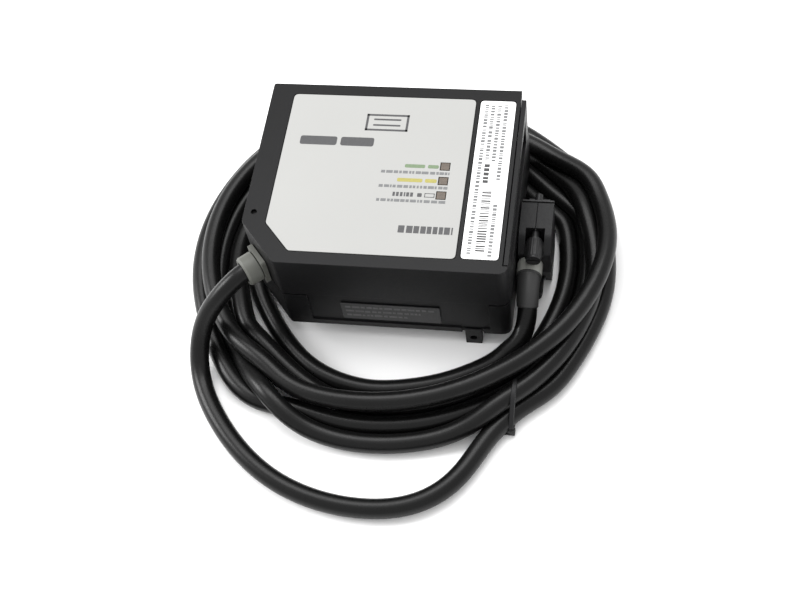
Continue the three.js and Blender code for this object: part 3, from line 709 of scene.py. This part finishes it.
def add_top_print():
    """Bars beside the indicator windows, dashed captions under them, and a plain symbol and title above."""
    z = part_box("top_label")[1].z
    dark, pale, green, yellow = (bmesh.new() for _ in range(4))
    add_marks(dark, start=4.6, end=12.6, middle=-9.4, height=1.9, z=z, seed=5, gap=0.35, widths=(0.5, 1.1))
    for row, middle in enumerate(CAPTION_ROWS):
        add_marks(pale, start=-1.2, end=24.8, middle=middle, height=1.25, z=z, seed=11 + row, gap=0.4,
                  widths=(0.6, 2.6))
    add_marks(dark, start=8.8, end=29.0, middle=-25.1, height=3.2, z=z, seed=23, gap=0.5, widths=(1.5, 2.4))
    for bm, bars in [(green, LAMP_BARS), (yellow, POWER_BARS), (dark, DARK_BARS + TITLE_BARS)]:
        for x0, y0, x1, y1, radius in bars:
            add_bar(bm, x0, y0, x1, y1, z, radius)
    for frame_box in (SMALL_FRAME, SYMBOL_FRAME):
        add_frame(dark, *frame_box, z)
    add_piece("label_print_dark", dark, INK_DARK)
    add_piece("label_print_pale", pale, INK_PALE)
    add_piece("label_print_green", green, INK_GREEN)
    add_piece("label_print_yellow", yellow, INK_YELLOW)


# the side label's columns of dashes: front end, back end and middle, in millimetres
ID_COLUMNS = [(-35.2, 35, 35.7), (8, 35, 38.1), (7.6, 35, 40.6), (-1, 35, 43.2), (-35.3, -11.6, 43.3)]
STRIPES_FROM, STRIPES_TO = -34.0, -6.4
STRIPES_LEFT, STRIPES_RIGHT = 37.95, 41.4
STRIPE_WIDTHS = [0.28, 0.45, 0.7]
STRIPE_GAPS = [0.3, 0.45, 0.7]


def add_id_print():
    """Columns of dashes and one column of stripes, all drawn at random."""
    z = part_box("id_label")[1].z
    pale, black = bmesh.new(), bmesh.new()
    for index, (start, end, middle) in enumerate(ID_COLUMNS):
        add_marks(pale, start, end, middle, height=1.5, z=z, seed=31 + index, gap=0.42, widths=(0.35, 1.3),
                  upright=True)
    add_marks(black, start=-2.6, end=6.2, middle=38.5, height=2.0, z=z, seed=41, gap=0.4, widths=(1.0, 1.9),
              upright=True)
    draw = random.Random(43)
    at = STRIPES_FROM
    while at < STRIPES_TO:
        width = draw.choice(STRIPE_WIDTHS)
        add_bar(black, STRIPES_LEFT, at, STRIPES_RIGHT, at + width, z)
        at += width + draw.choice(STRIPE_GAPS)
    add_piece("id_print_pale", pale, INK_PALE)
    add_piece("id_print_black", black, INK_BLACK)


# rows of the front label: height and right end as shares of the label, and the left margin in millimetres
RATING_ROWS = [(0.78, 0.94), (0.52, 0.8), (0.26, 0.66)]
RATING_MARGIN = 1.6


def add_rating_print():
    """Plain dashes on the front label; they are laid out flat and then stood up to face forward."""
    low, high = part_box("rating_label")
    width = (high.x - low.x) / MM
    height = (high.z - low.z) / MM
    bm = bmesh.new()
    for row, (up, end) in enumerate(RATING_ROWS):
        add_marks(bm, RATING_MARGIN, end * width, up * height, height=1.3, z=0, seed=61 + row, gap=0.5,
                  widths=(0.8, 3.4))
    stand = Matrix.Rotation(math.radians(90), 4, "X")
    bmesh.ops.transform(bm, matrix=Matrix.Translation((low.x, low.y, low.z)) @ stand, verts=bm.verts)
    add_piece("rating_print", bm, INK_FAINT)


# ------------------------------------------------------------------ floor and light
FLOOR_HALF = 3
WORLD_STRENGTH = 1.0
# name, place, what it aims at, width and height, and power in watts
SOFTBOXES = [
    ("softbox_top", (-0.1, 0.35, 0.9), (0, 0, 0), (0.9, 0.5), 7.5),
    ("softbox_over", (0.0, -0.08, 1.1), (0, -0.05, 0), (0.5, 0.5), 0.8),
    ("softbox_left", (-0.9, 0.0, 0.5), (0, 0, 0), (0.4, 0.5), 8),
]


def add_floor():
    """A sheet of white paper, far larger than the view."""
    bm = bmesh.new()
    bmesh.ops.create_grid(bm, x_segments=8, y_segments=8, size=FLOOR_HALF)
    mesh = bpy.data.meshes.new("floor")
    bm.to_mesh(mesh)
    bm.free()
    floor = add_object("floor", mesh)
    mesh.materials.append(surface("paper", linear(250, 250, 250), 0.8, specular=0.1, mottle=0.004, patch=3,
                                  grain=900, bump=0.02))


def add_softbox(name, place, aim, size, power):
    data = bpy.data.lights.new(name, "AREA")
    data.shape = "RECTANGLE"
    data.size, data.size_y = size
    data.energy = power
    lamp = add_object(name, data)
    lamp.location = place
    lamp.rotation_euler = (Vector(aim) - Vector(place)).to_track_quat("-Z", "Y").to_euler()


def add_light():
    world = bpy.data.worlds.new("studio")
    bpy.context.scene.world = world
    world.use_nodes = True
    background = world.node_tree.nodes["Background"]
    background.inputs["Color"].default_value = (1, 1, 1, 1)
    background.inputs["Strength"].default_value = WORLD_STRENGTH
    for softbox in SOFTBOXES:
        add_softbox(*softbox)
    bpy.context.scene.view_settings.view_transform = "Standard"


# ------------------------------------------------------------------ build
add_camera()
lead_path = lead_route()
lead = add_lead(lead_path)
dress_nodes()
tie = add_tie(lead_path)
boot = add_boot(lead_path)
for place in ("upper", "lower"):
    add_grip(f"grip_{place}", f"thumb_screw_{place}", f"{place}_jackscrew")
add_top_print()
add_id_print()
add_rating_print()
add_floor()
add_light()
